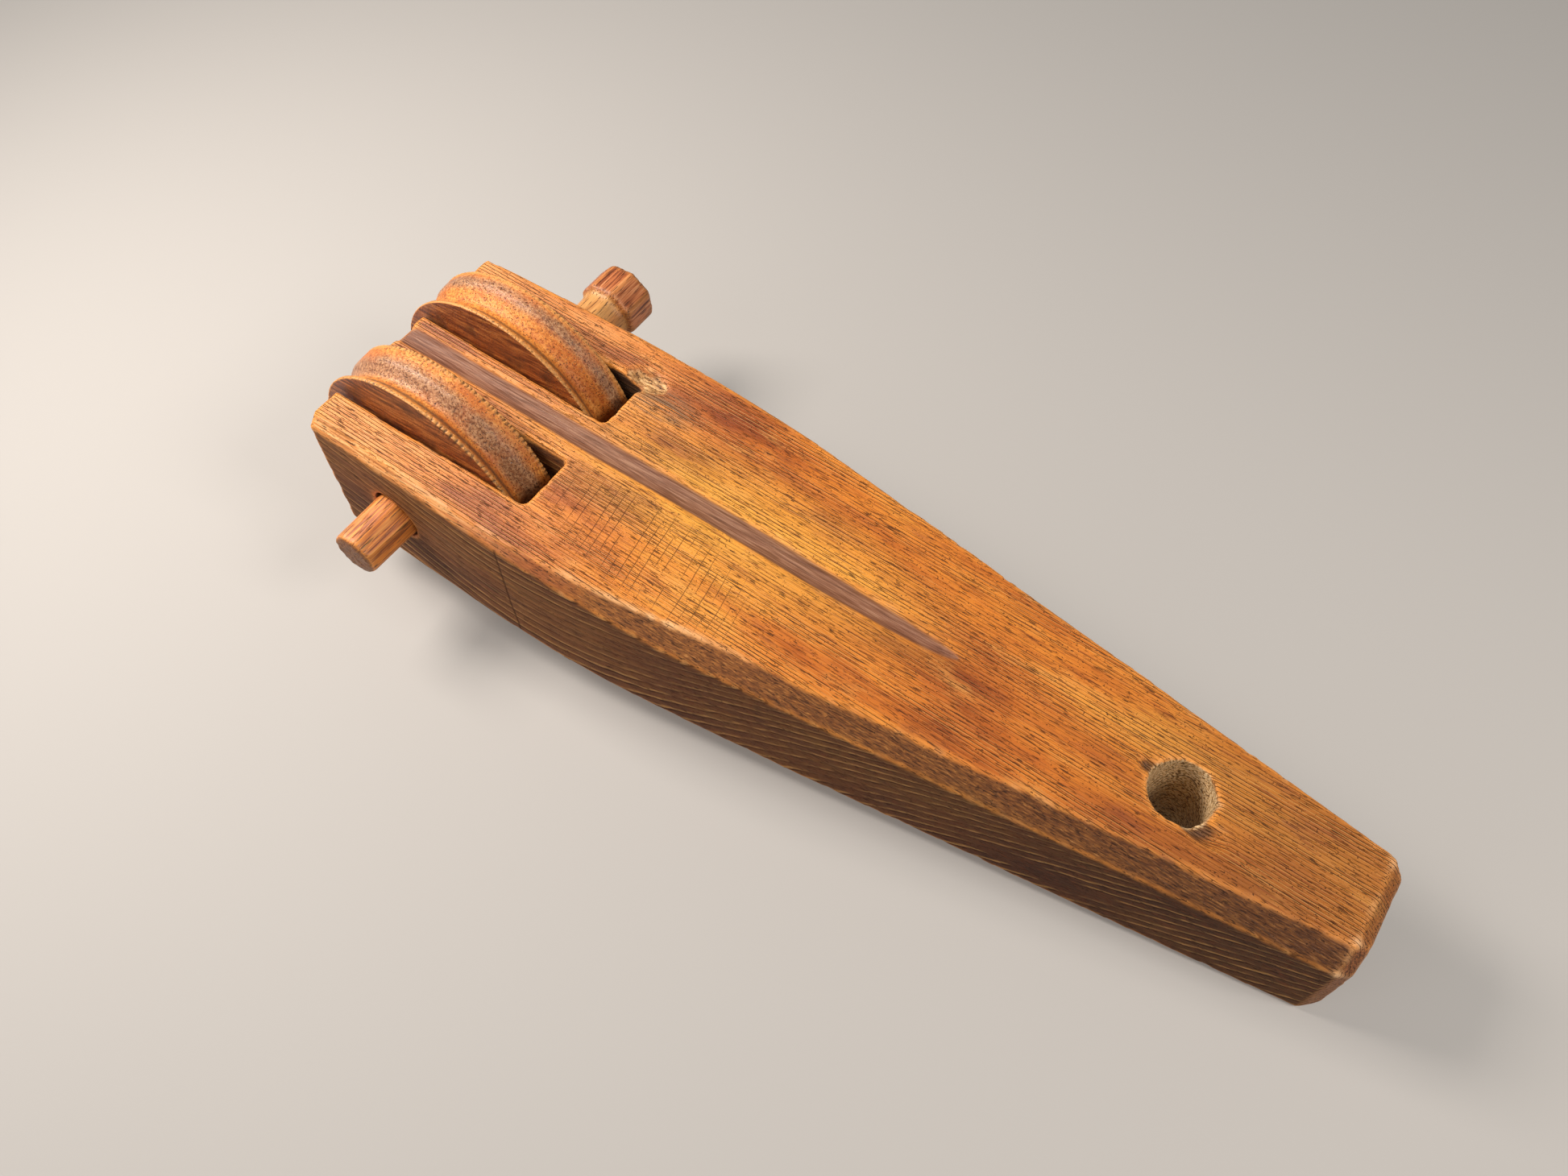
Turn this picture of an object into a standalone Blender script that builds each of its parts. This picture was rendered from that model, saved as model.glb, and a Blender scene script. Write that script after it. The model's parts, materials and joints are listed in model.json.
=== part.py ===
"""Wooden pulley block with two sheaves side by side on one axle peg.

The block is a single tapered timber, forked at its wide end by two open
slots. A grooved wooden sheave turns in each slot on a whittled peg, and the
narrow tail has a hole for the rope or hook that the block hangs by.

Units are metres, +Z up. Every piece is modelled in the block's own frame,
whose X axis runs from the middle of the wide end to the tail and whose XY
plane is the timber's middle plane. An empty then leans that frame the way
the block lies on a table, on its two sheaves and the lower edge of its tail.
"""

import math

import bmesh
import bpy
from mathutils import Matrix, Vector

MM = 0.001

# Driving dimensions of the timber.
LENGTH = 400 * MM
END_HALF_WIDTH = 50.6 * MM
FLARE = 0.036
TAIL_HALF_WIDTH = 20.4 * MM
TAPER = 0.125
SHOULDER_TANGENT = 55 * MM
END_HALF_THICKNESS = 31.6 * MM
TAIL_HALF_THICKNESS = 22.7 * MM
STATION_STEP = 16 * MM

# Chamfers along the timber and across its two ends.
WORN_CHAMFER_START = 4.4 * MM
WORN_CHAMFER_WAIST = 2.4 * MM
WORN_CHAMFER_TAIL = 8.0 * MM
WORN_CHAMFER_WAIST_X = 78 * MM
WORN_CHAMFER_FULL_X = 230 * MM
PLAIN_CHAMFER = 3.0 * MM
WIDE_END_CHAMFER = 3.0 * MM
TAIL_END_CHAMFER = 3.2 * MM
TAIL_END_CHAMFER_LENGTH = 4.6 * MM

# Axle, sheaves and slots.
AXLE_X = 36.4 * MM
SHEAVE_RADIUS = 51 * MM
SHEAVE_WIDTH = 20 * MM
SHEAVE_Y = 23 * MM
SLOT_WIDTH = 23.2 * MM
SLOT_END_X = 91.5 * MM
BORE_CLEARANCE = 0.5 * MM
SHEAVE_BORE_RADIUS = 11.5 * MM
GROOVE_DEPTH = 4.6 * MM
FLANGE_LIP = 1.6 * MM
LIP_ROUND = 0.6 * MM

# Axle peg, whittled to a slight taper, thin end towards -Y.
PEG_TIP_Y = -74.5 * MM
PEG_SHOULDER_Y = 76 * MM
PEG_HEAD_END_Y = 93 * MM
PEG_TIP_RADIUS = 9.8 * MM
PEG_SHOULDER_RADIUS = 11.3 * MM
PEG_HEAD_RADIUS = 14.2 * MM
PEG_END_CHAMFER = 1.6 * MM

# Gouged channel on the upper face, and the hanging hole in the tail.
CENTRE_SHIFT = 2 * MM
CHANNEL_END_X = 248 * MM
CHANNEL_HALF_WIDTH = 4.9 * MM
CHANNEL_DEPTH = 2.3 * MM
CHANNEL_STEPS = 14
HOLE_X = 331.5 * MM
HOLE_RADIUS = 11 * MM

OVERSHOOT = 30 * MM
ROUND_SIDES = 48
SHEAVE_SIDES = 72
SHARP_ANGLE = math.radians(20)


def clear_scene():
    for obj in list(bpy.data.objects):
        bpy.data.objects.remove(obj, do_unlink=True)


def half_thickness(x):
    return END_HALF_THICKNESS + (TAIL_HALF_THICKNESS - END_HALF_THICKNESS) * x / LENGTH


def half_width(x):
    """Plan outline: a slight flare, a long arc at the shoulder, a straight taper."""
    flare = END_HALF_WIDTH + FLARE * x
    taper = TAIL_HALF_WIDTH + TAPER * (LENGTH - x)
    tail_line_start = TAIL_HALF_WIDTH + TAPER * LENGTH
    corner = (tail_line_start - END_HALF_WIDTH) / (FLARE + TAPER)
    if abs(x - corner) >= SHOULDER_TANGENT:
        return min(flare, taper)
    blend = (x - corner + SHOULDER_TANGENT) / (2 * SHOULDER_TANGENT)
    return flare - (FLARE + TAPER) * SHOULDER_TANGENT * blend * blend


def peg_radius(y):
    """Radius of the peg's shank, which swells evenly from its tip to its shoulder."""
    share = (y - PEG_TIP_Y) / (PEG_SHOULDER_Y - PEG_TIP_Y)
    return PEG_TIP_RADIUS + (PEG_SHOULDER_RADIUS - PEG_TIP_RADIUS) * share


def smooth_step(value):
    value = max(0.0, min(1.0, value))
    return value * value * (3 - 2 * value)


def worn_chamfer(x):
    """The upper edge on the -Y side: thin beside the slots, broad towards the tail."""
    fall = smooth_step(x / WORN_CHAMFER_WAIST_X)
    rise_length = WORN_CHAMFER_FULL_X - WORN_CHAMFER_WAIST_X
    rise = smooth_step((x - WORN_CHAMFER_WAIST_X) / rise_length)
    start_part = (WORN_CHAMFER_START - WORN_CHAMFER_WAIST) * (1 - fall)
    return start_part + WORN_CHAMFER_WAIST + (WORN_CHAMFER_TAIL - WORN_CHAMFER_WAIST) * rise


def material(name, colour, roughness):
    made = bpy.data.materials.new(name)
    made.use_nodes = True
    shader = made.node_tree.nodes["Principled BSDF"]
    shader.inputs["Base Color"].default_value = (*colour, 1)
    shader.inputs["Roughness"].default_value = roughness
    shader.inputs["Metallic"].default_value = 0
    return made


def object_from(bm, name, mat=None):
    bmesh.ops.recalc_face_normals(bm, faces=bm.faces)
    mesh = bpy.data.meshes.new(name)
    bm.to_mesh(mesh)
    bm.free()
    mesh.shade_smooth()
    mesh.set_sharp_from_angle(angle=SHARP_ANGLE)
    obj = bpy.data.objects.new(name, mesh)
    bpy.context.scene.collection.objects.link(obj)
    if mat:
        mesh.materials.append(mat)
    return obj


def loft(sections):
    """A closed solid through loops that all have the same number of points."""
    bm = bmesh.new()
    previous = None
    for points in sections:
        verts = [bm.verts.new(p) for p in points]
        if previous is None:
            bm.faces.new(verts)
        else:
            for i in range(len(verts)):
                j = (i + 1) % len(verts)
                bm.faces.new((previous[i], previous[j], verts[j], verts[i]))
        previous = verts
    bm.faces.new(previous)
    return bm


def cutter(bm, name):
    obj = object_from(bm, name)
    obj.hide_render = True
    obj.display_type = "WIRE"
    return obj


def cut(obj, tool):
    boolean = obj.modifiers.new(tool.name, "BOOLEAN")
    boolean.operation = "DIFFERENCE"
    boolean.solver = "EXACT"
    boolean.object = tool


def cylinder(radius, depth, sides, matrix):
    bm = bmesh.new()
    bmesh.ops.create_cone(
        bm, cap_ends=True, segments=sides, radius1=radius, radius2=radius, depth=depth, matrix=matrix
    )
    return bm


def round_ring(y, radius, sides):
    """Points round the axle line in a plane across it."""
    angles = [2 * math.pi * k / sides for k in range(sides)]
    return [Vector((AXLE_X + radius * math.sin(a), y, radius * math.cos(a))) for a in angles]


def section(x, inset):
    """One cross-section of the timber, a rectangle with its four corners cut off."""
    w = half_width(x) - inset
    h = half_thickness(x) - inset
    worn = worn_chamfer(x)
    plain = PLAIN_CHAMFER
    outline = (
        (-w + worn, h),
        (-w, h - worn),
        (-w, -h + plain),
        (-w + plain, -h),
        (w - plain, -h),
        (w, -h + plain),
        (w, h - plain),
        (w - plain, h),
    )
    return [Vector((x, y, z)) for y, z in outline]


def block_stations():
    """Places along the timber where a cross-section is taken, with its inset."""
    stations = [(0.0, WIDE_END_CHAMFER), (WIDE_END_CHAMFER, 0.0)]
    count = round(LENGTH / STATION_STEP)
    stations += [(i * LENGTH / count, 0.0) for i in range(1, count)]
    stations += [(LENGTH - TAIL_END_CHAMFER_LENGTH, 0.0), (LENGTH, TAIL_END_CHAMFER)]
    return stations


def slot_cutter(side):
    """A slot open at the wide end, on the +Y (side 1) or -Y (side -1) side."""
    bm = bmesh.new()
    depth = SLOT_END_X + OVERSHOOT
    height = 2 * (END_HALF_THICKNESS + OVERSHOOT)
    place = Matrix.Translation((depth / 2 - OVERSHOOT, side * SHEAVE_Y, 0))
    size = Matrix.Diagonal((depth, SLOT_WIDTH, height, 1))
    bmesh.ops.create_cube(bm, size=1, matrix=place @ size)
    return cutter(bm, f"slot_cutter_{'far' if side > 0 else 'near'}")


def channel_cutter():
    """A gouge cut that is widest at the wide end and runs out to a point."""
    sections = []
    start = -OVERSHOOT / 3
    for i in range(CHANNEL_STEPS + 1):
        share = i / CHANNEL_STEPS
        x = start + (CHANNEL_END_X - start) * share
        fade = math.sqrt(max(1 - share ** 5, 0.002))
        half = CHANNEL_HALF_WIDTH * fade
        deep = CHANNEL_DEPTH * fade
        ring = []
        for k in range(16):
            angle = 2 * math.pi * k / 16
            y = CENTRE_SHIFT + half * math.cos(angle)
            ring.append(Vector((x, y, half_thickness(x) + deep * math.sin(angle))))
        sections.append(ring)
    return cutter(loft(sections), "channel_cutter")


def make_block(mat):
    block = object_from(loft([section(x, inset) for x, inset in block_stations()]), "block_body", mat)
    bore_end = END_HALF_WIDTH + OVERSHOOT
    bore_rings = [
        round_ring(y, peg_radius(y) + BORE_CLEARANCE, ROUND_SIDES) for y in (-bore_end, bore_end)
    ]
    bore = loft(bore_rings)
    hole_length = 2 * (END_HALF_THICKNESS + OVERSHOOT)
    hole_place = Matrix.Translation((HOLE_X, CENTRE_SHIFT, 0))
    hole = cylinder(HOLE_RADIUS, hole_length, ROUND_SIDES, hole_place)
    tools = (
        slot_cutter(-1),
        slot_cutter(1),
        cutter(bore, "axle_bore_cutter"),
        cutter(hole, "tail_hole_cutter"),
        channel_cutter(),
    )
    for tool in tools:
        cut(block, tool)
    return [block, *tools]


def sheave_profile():
    """Half-section of a sheave, from bore to rim and back, as (radius, offset)."""
    half = SHEAVE_WIDTH / 2
    lip = half - FLANGE_LIP
    groove_half = lip - LIP_ROUND
    points = [
        (SHEAVE_BORE_RADIUS, -half),
        (SHEAVE_RADIUS - LIP_ROUND, -half),
        (SHEAVE_RADIUS, -half + LIP_ROUND),
        (SHEAVE_RADIUS, -lip),
    ]
    steps = 10
    for i in range(steps + 1):
        share = 2 * i / steps - 1
        depth = GROOVE_DEPTH * (1 - share ** 4) ** 0.75
        radius = SHEAVE_RADIUS - LIP_ROUND - depth
        points.append((radius, share * groove_half))
    points += [
        (SHEAVE_RADIUS, lip),
        (SHEAVE_RADIUS, half - LIP_ROUND),
        (SHEAVE_RADIUS - LIP_ROUND, half),
        (SHEAVE_BORE_RADIUS, half),
    ]
    return points


def make_sheave(name, side, mat):
    bm = bmesh.new()
    verts = [bm.verts.new((0, y, r)) for r, y in sheave_profile()]
    edges = [bm.edges.new((a, b)) for a, b in zip(verts, verts[1:] + verts[:1])]
    bmesh.ops.spin(
        bm,
        geom=verts + edges,
        cent=(0, 0, 0),
        axis=(0, 1, 0),
        angle=2 * math.pi,
        steps=SHEAVE_SIDES,
        use_merge=True,
    )
    bmesh.ops.remove_doubles(bm, verts=bm.verts, dist=0.00001)
    sheave = object_from(bm, name, mat)
    sheave.location = (AXLE_X, side * SHEAVE_Y, 0)
    return sheave


def peg_ring(y, radius, flat_share):
    """Sixteen points round the peg: an octagon whose corners are trimmed."""
    ring = []
    flat = math.radians(22.5) * flat_share
    for corner in range(8):
        middle = math.radians(45) * corner
        for offset in (-flat, flat):
            angle = middle + offset
            ring.append(Vector((radius * math.sin(angle), y, radius * math.cos(angle))))
    return ring


def make_peg(mat):
    chamfer = PEG_END_CHAMFER
    shank_flat = 0.66
    head_flat = 0.84
    rings = [
        peg_ring(PEG_TIP_Y, PEG_TIP_RADIUS - chamfer, shank_flat),
        peg_ring(PEG_TIP_Y + chamfer, PEG_TIP_RADIUS, shank_flat),
        peg_ring(PEG_SHOULDER_Y, PEG_SHOULDER_RADIUS, shank_flat),
        peg_ring(PEG_SHOULDER_Y + chamfer, PEG_HEAD_RADIUS, head_flat),
        peg_ring(PEG_HEAD_END_Y - chamfer, PEG_HEAD_RADIUS, head_flat),
        peg_ring(PEG_HEAD_END_Y, PEG_HEAD_RADIUS - chamfer, head_flat),
    ]
    peg = object_from(loft(rings), "axle_peg", mat)
    peg.location = (AXLE_X, 0, 0)
    return peg


def rest_frame():
    """The empty that leans the block so its sheaves and tail edge meet Z = 0."""
    foot_x = LENGTH - TAIL_END_CHAMFER_LENGTH
    foot_drop = half_thickness(foot_x)
    reach = foot_x - AXLE_X
    lean = math.asin(SHEAVE_RADIUS / math.hypot(reach, foot_drop)) - math.atan2(foot_drop, reach)
    turn = Matrix.Rotation(lean, 4, "Y")
    axle = turn @ Vector((AXLE_X, 0, 0))
    tail_corner = turn @ Vector((LENGTH, 0, half_thickness(LENGTH) - TAIL_END_CHAMFER))
    middle_x = (axle.x - SHEAVE_RADIUS + tail_corner.x) / 2
    middle_y = (PEG_TIP_Y + PEG_HEAD_END_Y) / 2
    empty = bpy.data.objects.new("rest_frame", None)
    empty.location = (-middle_x, -middle_y, SHEAVE_RADIUS - axle.z)
    empty.rotation_euler = (0, lean, 0)
    bpy.context.scene.collection.objects.link(empty)
    return empty


def main():
    clear_scene()
    timber = material("oiled_hardwood", (0.36, 0.15, 0.045), 0.5)
    sheave_wood = material("dense_sheave_wood", (0.30, 0.11, 0.035), 0.42)
    peg_wood = material("oak_peg", (0.33, 0.12, 0.04), 0.5)
    pieces = make_block(timber)
    pieces.append(make_sheave("near_sheave", -1, sheave_wood))
    pieces.append(make_sheave("far_sheave", 1, sheave_wood))
    pieces.append(make_peg(peg_wood))
    frame = rest_frame()
    for piece in pieces:
        piece.parent = frame


main()
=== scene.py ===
"""Looks for an old wooden pulley block: its timber, its two sheaves and the peg they turn on."""

import json
import math

import bmesh
import bpy
import numpy as np
from mathutils import Matrix, Vector, noise


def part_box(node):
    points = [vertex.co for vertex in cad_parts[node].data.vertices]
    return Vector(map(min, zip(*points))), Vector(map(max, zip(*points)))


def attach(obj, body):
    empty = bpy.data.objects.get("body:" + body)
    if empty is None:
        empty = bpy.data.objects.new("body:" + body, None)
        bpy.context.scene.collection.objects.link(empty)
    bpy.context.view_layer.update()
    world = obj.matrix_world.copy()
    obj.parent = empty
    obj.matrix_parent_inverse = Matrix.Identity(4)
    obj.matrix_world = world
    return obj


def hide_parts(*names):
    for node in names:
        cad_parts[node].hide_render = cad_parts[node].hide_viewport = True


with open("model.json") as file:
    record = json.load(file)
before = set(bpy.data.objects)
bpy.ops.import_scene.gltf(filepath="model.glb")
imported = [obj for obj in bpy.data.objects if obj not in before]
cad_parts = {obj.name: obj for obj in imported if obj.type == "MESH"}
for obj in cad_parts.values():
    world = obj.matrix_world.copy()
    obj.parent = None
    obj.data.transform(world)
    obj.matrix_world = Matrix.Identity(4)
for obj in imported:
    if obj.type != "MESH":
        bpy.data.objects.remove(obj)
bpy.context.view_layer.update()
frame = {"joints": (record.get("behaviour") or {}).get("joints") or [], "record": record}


# Floor, camera and light.
# A pale matt sheet, which glows a little so that it stays pale far from the lamps, under three
# soft warm ones: the key beyond the wide end, one beyond the tail, and a weak one in front.
FLOOR_SIZE = 16.0
FLOOR_COLOUR = "#9b9b9c"
FLOOR_GLOW = 0.18
CAMERA_PLACE = (0.157, -0.2109, 0.430)
CAMERA_TURN = (34.54, 3.66, 34.68)
LENS_MM = 29.6
SENSOR_MM = 36.0
LAMPS = (
    ("key_lamp", (-0.52, -0.10, 0.56), 0.30, 7.2, "#fff1e2"),
    ("tail_lamp", (0.62, 0.00, 0.66), 0.26, 4.4, "#fff3e6"),
    ("front_lamp", (-0.30, -0.75, 0.60), 0.50, 1.1, "#fff7f0"),
)
SKY_COLOUR = "#e9e4dc"
SKY_STRENGTH = 0.22


def linear(colour):
    """An sRGB hex colour as linear light, with full alpha."""
    parts = [int(colour[i:i + 2], 16) / 255 for i in (1, 3, 5)]
    return (*[c / 12.92 if c <= 0.04045 else ((c + 0.055) / 1.055) ** 2.4 for c in parts], 1.0)


def add(tree, kind, inputs=None, stops=None, out=0, **settings):
    """Adds a node and gives one of its outputs. Inputs are values, hex colours or outputs."""
    made = tree.nodes.new(kind)
    for name, value in settings.items():
        setattr(made, name, value)
    for key, value in (inputs or {}).items():
        if isinstance(value, bpy.types.NodeSocket):
            tree.links.new(value, made.inputs[key])
        else:
            made.inputs[key].default_value = linear(value) if isinstance(value, str) else value
    if stops:
        ramp = made.color_ramp
        while len(ramp.elements) < len(stops):
            ramp.elements.new(1.0)
        for element, (position, value) in zip(ramp.elements, stops):
            element.position = position
            element.color = linear(value) if isinstance(value, str) else (value, value, value, 1)
    return made.outputs[out]


def bare_material(name):
    """A new material's node tree, its Principled shader, and the material."""
    made = bpy.data.materials.new(name)
    made.use_nodes = True
    return made.node_tree, made.node_tree.nodes["Principled BSDF"], made


tree, shader, floor_paint = bare_material("matt_table_paint")
shader.inputs["Base Color"].default_value = linear(FLOOR_COLOUR)
shader.inputs["Roughness"].default_value = 0.85
shader.inputs["Emission Color"].default_value = linear(SKY_COLOUR)
shader.inputs["Emission Strength"].default_value = FLOOR_GLOW

bm = bmesh.new()
bmesh.ops.create_grid(bm, x_segments=1, y_segments=1, size=FLOOR_SIZE / 2)
floor_mesh = bpy.data.meshes.new("floor")
bm.to_mesh(floor_mesh)
bm.free()
floor_mesh.materials.append(floor_paint)
floor = bpy.data.objects.new("floor", floor_mesh)
bpy.context.scene.collection.objects.link(floor)

camera_data = bpy.data.cameras.new("camera")
camera_data.lens = LENS_MM
camera_data.sensor_width = SENSOR_MM
camera = bpy.data.objects.new("camera", camera_data)
camera.location = CAMERA_PLACE
camera.rotation_euler = [math.radians(a) for a in CAMERA_TURN]
bpy.context.scene.collection.objects.link(camera)
bpy.context.scene.camera = camera

for name, place, size, watts, colour in LAMPS:
    lamp_data = bpy.data.lights.new(name, "AREA")
    lamp_data.size = size
    lamp_data.energy = watts
    lamp_data.color = linear(colour)[:3]
    lamp = bpy.data.objects.new(name, lamp_data)
    lamp.location = place
    lamp.rotation_euler = (-Vector(place)).to_track_quat("-Z", "Y").to_euler()
    bpy.context.scene.collection.objects.link(lamp)

sky = bpy.data.worlds.new("studio")
sky.use_nodes = True
sky.node_tree.nodes["Background"].inputs["Color"].default_value = linear(SKY_COLOUR)
sky.node_tree.nodes["Background"].inputs["Strength"].default_value = SKY_STRENGTH
bpy.context.scene.world = sky
bpy.context.scene.view_settings.view_transform = "Standard"


# Timber.
# One tapered bar of coarse ring-porous hardwood, sawn and planed by hand, with two slots cut in
# from its wide end, a bore for the peg, a hanging hole and a gouged channel down its upper face.
MM = 0.001
LENGTH = 400 * MM
END_HALF_WIDTH = 50.6 * MM
FLARE = 0.036
TAIL_HALF_WIDTH = 20.4 * MM
TAPER = 0.125
SHOULDER_TANGENT = 55 * MM
END_HALF_THICKNESS = 31.6 * MM
TAIL_HALF_THICKNESS = 22.7 * MM
STATIONS = 44
WORN_CHAMFER_START = 4.4 * MM
WORN_CHAMFER_WAIST = 2.8 * MM
WORN_CHAMFER_TAIL = 7.6 * MM
WORN_CHAMFER_WAIST_X = 70 * MM
WORN_CHAMFER_FULL_X = 190 * MM
PLAIN_CHAMFER = 1.0 * MM
WIDE_END_CHAMFER = 0.9 * MM
EDGE_WANDER = 0.5 * MM
EDGE_WANDER_RUN = 34 * MM
TAIL_END_CHAMFER = 3.2 * MM
TAIL_END_CHAMFER_LENGTH = 4.6 * MM
SLOT_WIDTH = 23.2 * MM
SLOT_END_X = 91.5 * MM
TAPERED_BORE = (10.3 * MM, 12.8 * MM)
CENTRE_SHIFT = 2 * MM
CHANNEL_END_X = 250 * MM
CHANNEL_HALF_WIDTH = 4.4 * MM
CHANNEL_DEPTH = 2.6 * MM
CHANNEL_SWAY = 0.4 * MM
CHANNEL_SIDES = 16
CHANNEL_STATIONS = 60
HOLE_X = 331.5 * MM
HOLE_RADIUS = 11 * MM
OVERSHOOT = 30 * MM
VOXEL = 1.0 * MM
KEPT_SHARE = 0.64

joints = {joint["name"]: joint for joint in frame["joints"]}
near_axle = Vector(joints["near_sheave_spin"]["pos_m"])
far_axle = Vector(joints["far_sheave_spin"]["pos_m"])
mounts = {mount["name"]: mount for mount in frame["record"]["mounts"]}
tail_axis = Vector(mounts["tail_end"]["axis"])
LEAN = math.atan2(-tail_axis.z, tail_axis.x)
AXLE_X = 36.4 * MM
SHEAVE_Y = (far_axle.y - near_axle.y) / 2
axle_middle = (near_axle + far_axle) / 2
lean_turn = Matrix.Rotation(LEAN, 4, "Y")
timber_origin = axle_middle - lean_turn @ Vector((AXLE_X, 0, 0))
timber_frame = Matrix.Translation(timber_origin) @ lean_turn


def half_thickness(x):
    """Half the thickness, which falls evenly from the wide end to the tail."""
    return END_HALF_THICKNESS + (TAIL_HALF_THICKNESS - END_HALF_THICKNESS) * x / LENGTH


def half_width(x):
    """Half the width in plan: a slight flare, a long arc at the shoulder, a straight taper."""
    flare = END_HALF_WIDTH + FLARE * x
    taper = TAIL_HALF_WIDTH + TAPER * (LENGTH - x)
    corner = (TAIL_HALF_WIDTH + TAPER * LENGTH - END_HALF_WIDTH) / (FLARE + TAPER)
    blend = np.clip((x - corner + SHOULDER_TANGENT) / (2 * SHOULDER_TANGENT), 0, 1)
    arc = flare - (FLARE + TAPER) * SHOULDER_TANGENT * blend * blend
    return np.where(np.abs(x - corner) < SHOULDER_TANGENT, arc, np.minimum(flare, taper))


def ease(value, low, high):
    """0 below low, 1 above high, and a smooth rise between them."""
    share = np.clip((value - low) / (high - low), 0, 1)
    return share * share * (3 - 2 * share)


def worn_chamfer(x):
    """The upper edge on the -Y side: thin beside the slots, broad towards the tail."""
    start = (WORN_CHAMFER_START - WORN_CHAMFER_WAIST) * (1 - ease(x, 0, WORN_CHAMFER_WAIST_X))
    rise = ease(x, WORN_CHAMFER_WAIST_X, WORN_CHAMFER_FULL_X)
    return start + WORN_CHAMFER_WAIST + (WORN_CHAMFER_TAIL - WORN_CHAMFER_WAIST) * rise


def timber_corner(station, corner):
    """One of the eight corners of the timber's cross-section at a station (x, inset)."""
    x, inset = station
    wander = EDGE_WANDER * noise.noise(Vector((x / EDGE_WANDER_RUN, corner * 7.3, 0.4)))
    w = float(half_width(x)) - inset
    h = float(half_thickness(x)) - inset
    worn = float(worn_chamfer(x)) + wander
    plain = PLAIN_CHAMFER + wander
    outline = (
        (-w + worn, h),
        (-w, h - worn),
        (-w, -h + plain),
        (-w + plain, -h),
        (w - plain, -h),
        (w, -h + plain),
        (w, h - plain),
        (w - plain, h),
    )
    return (x, *outline[corner])


def draw_out(corners, stations, place):
    """A bar drawn out of a flat outline, one extrusion to each station in turn."""
    bar = bmesh.new()
    index = bar.verts.layers.int.new("corner")
    ring = bmesh.ops.create_circle(bar, cap_ends=True, segments=corners, radius=MM)["verts"]
    for i, vert in enumerate(ring):
        vert[index] = i
        vert.co = place(stations[0], i)
    end = bar.faces[:]
    for station in stations[1:]:
        made = bmesh.ops.extrude_face_region(bar, geom=end)["geom"]
        for vert in (g for g in made if isinstance(g, bmesh.types.BMVert)):
            vert.co = place(station, vert[index])
        if station != stations[1]:
            bmesh.ops.delete(bar, geom=end, context="FACES_ONLY")
        end = [g for g in made if isinstance(g, bmesh.types.BMFace)]
    bmesh.ops.recalc_face_normals(bar, faces=bar.faces)
    return bar


def object_from(shape, name):
    """Turns a bmesh into an object in the scene."""
    mesh = bpy.data.meshes.new(name)
    shape.to_mesh(mesh)
    shape.free()
    made = bpy.data.objects.new(name, mesh)
    bpy.context.scene.collection.objects.link(made)
    return made


def block_shape(size, place, turn=(0, 0, 0)):
    """A box given by its size, its middle and its turn about X, Y and Z in degrees."""
    box = bmesh.new()
    turns = [Matrix.Rotation(math.radians(a), 4, axis) for a, axis in zip(turn, "XYZ")]
    matrix = Matrix.Translation(place) @ turns[2] @ turns[1] @ turns[0]
    bmesh.ops.create_cube(box, size=1, matrix=matrix @ Matrix.Diagonal((*size, 1)))
    return box


def chip_shape(size, place, seed):
    """A rough hollow knocked out of the surface: a ball squeezed to size and roughened."""
    chip = bmesh.new()
    matrix = Matrix.Translation(place) @ Matrix.Diagonal((*size, 1))
    ball = bmesh.ops.create_icosphere(chip, subdivisions=3, radius=1)["verts"]
    for vert in ball:
        vert.co *= 1 + 0.28 * noise.noise(vert.co * 2.1 + Vector((seed, 0, 0)))
    bmesh.ops.transform(chip, matrix=matrix, verts=ball)
    return chip


def channel_fade(x):
    """How full the gouge's cut is: whole for most of its run, nothing at its end."""
    return np.sqrt(np.clip(1 - np.clip(x / CHANNEL_END_X, 0, 1) ** 9, 0.003, 1))


def channel_centre(x):
    """The middle of the gouge's cut, which wanders a little from side to side."""
    return CENTRE_SHIFT + CHANNEL_SWAY * np.sin(x / (28 * MM)) * np.cos(x / (57 * MM))


def channel_point(x, corner):
    """A point of the gouge's sweep, a flat oval that sits half above the upper face."""
    fade = float(channel_fade(x))
    angle = 2 * math.pi * corner / CHANNEL_SIDES
    y = float(channel_centre(x)) + CHANNEL_HALF_WIDTH * fade * math.cos(angle)
    return (x, y, half_thickness(x) + CHANNEL_DEPTH * fade * math.sin(angle))


def round_cutter(radii, reach, place, turn):
    """A round tapering cutter, its radius given at both ends."""
    cone = bmesh.new()
    matrix = Matrix.Translation(place) @ turn
    bmesh.ops.create_cone(
        cone, cap_ends=True, segments=64, radius1=radii[0], radius2=radii[1], depth=reach, matrix=matrix
    )
    return cone


stations = [(0.0, WIDE_END_CHAMFER), (WIDE_END_CHAMFER, 0.0)]
stations += [(LENGTH * i / STATIONS, 0.0) for i in range(1, STATIONS)]
stations += [(LENGTH - TAIL_END_CHAMFER_LENGTH, 0.0), (LENGTH, TAIL_END_CHAMFER)]
timber = object_from(draw_out(8, stations, timber_corner), "timber")

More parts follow.
